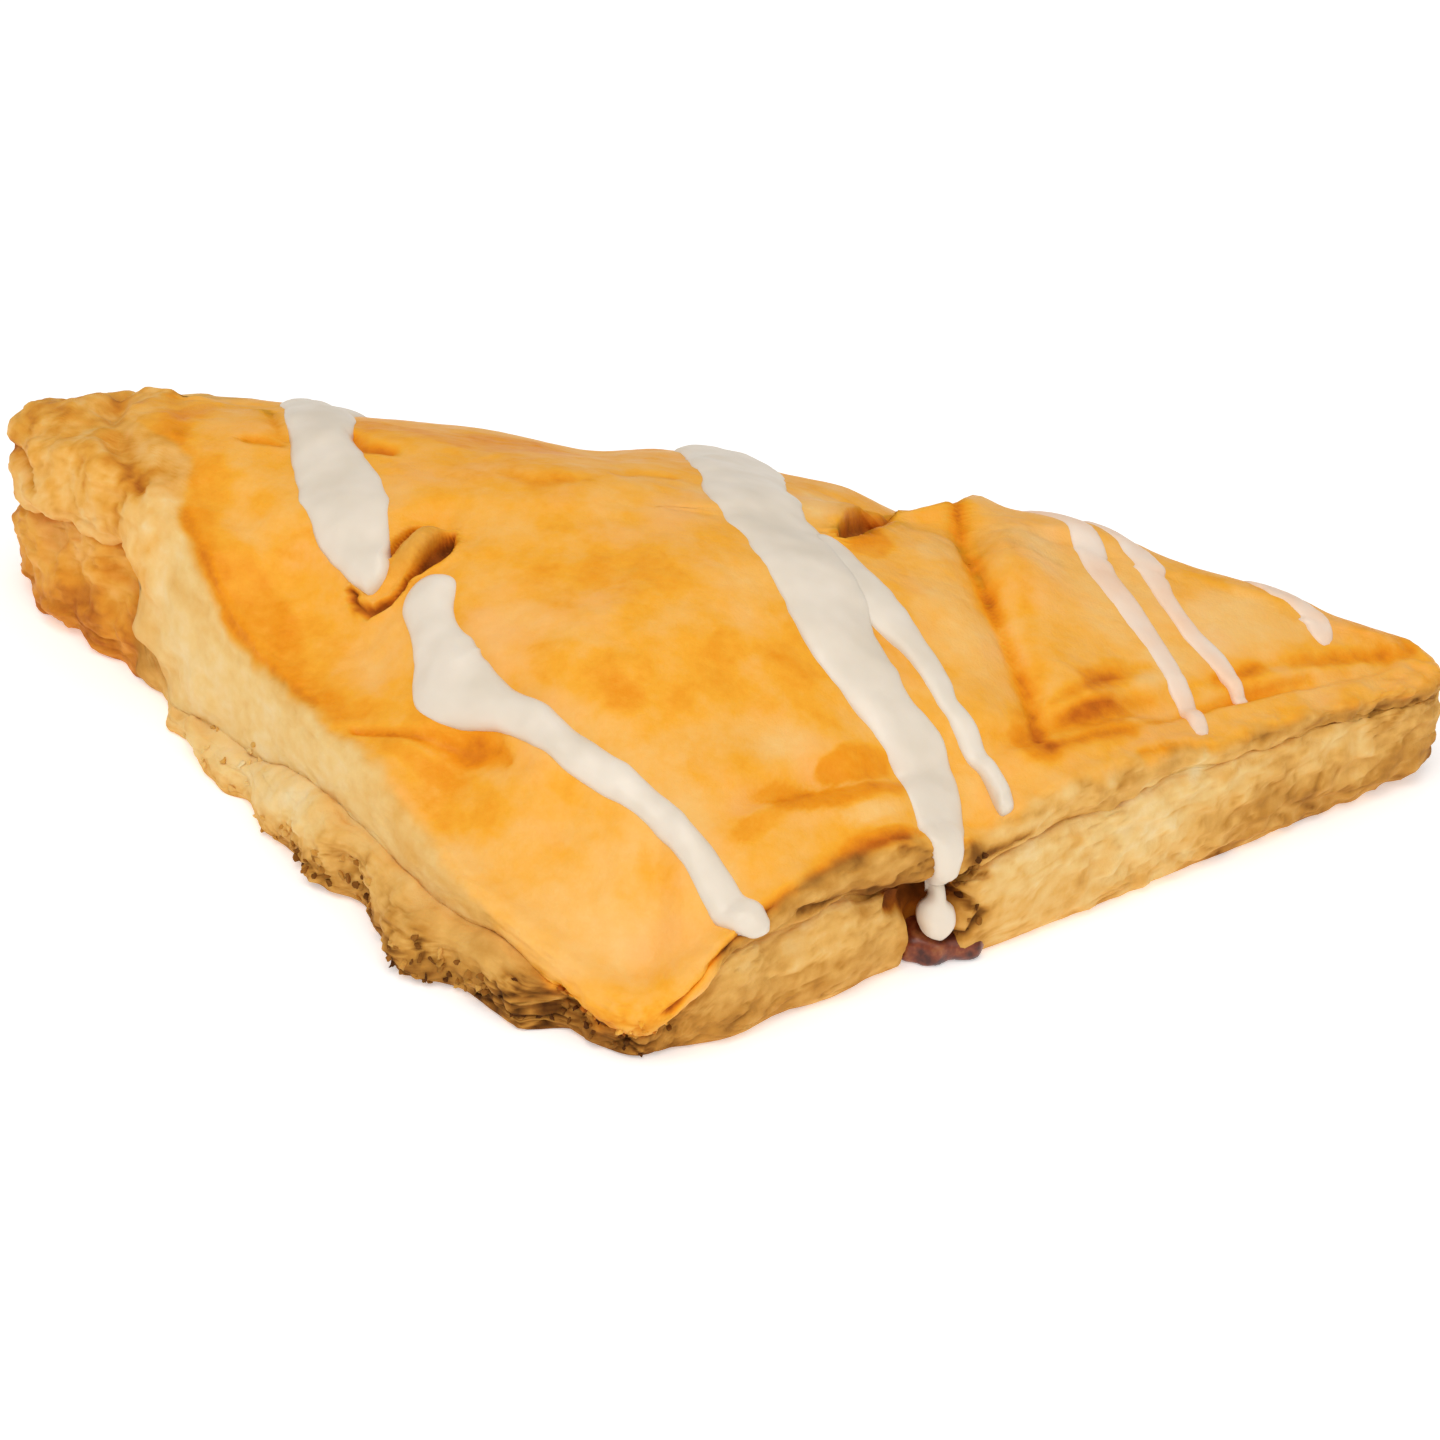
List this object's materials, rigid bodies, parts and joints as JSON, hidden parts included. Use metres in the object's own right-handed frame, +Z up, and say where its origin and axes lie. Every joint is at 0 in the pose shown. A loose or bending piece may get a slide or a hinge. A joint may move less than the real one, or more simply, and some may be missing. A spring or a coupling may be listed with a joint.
{
  "type": "turnover pastry",
  "caption": "Baked puff pastry turnover: a square of dough folded to a triangle over jam, domed and golden, with vent slits, poured icing and jam leaking from one side seam.",
  "frame": {"origin": "on the table, under the middle of the pastry's bounding box", "axes": "+X along the fold towards the right end, +Y towards the fold, +Z up"},
  "size_m": [0.1704, 0.0914, 0.0351],
  "materials": {
    "crust": "satin golden crust",
    "icing": "glossy set icing",
    "jam": "wet dark red jam"
  },
  "bodies": {
    "root": {"pastry": "crust", "filling": "jam"}
  },
  "joints": []
}
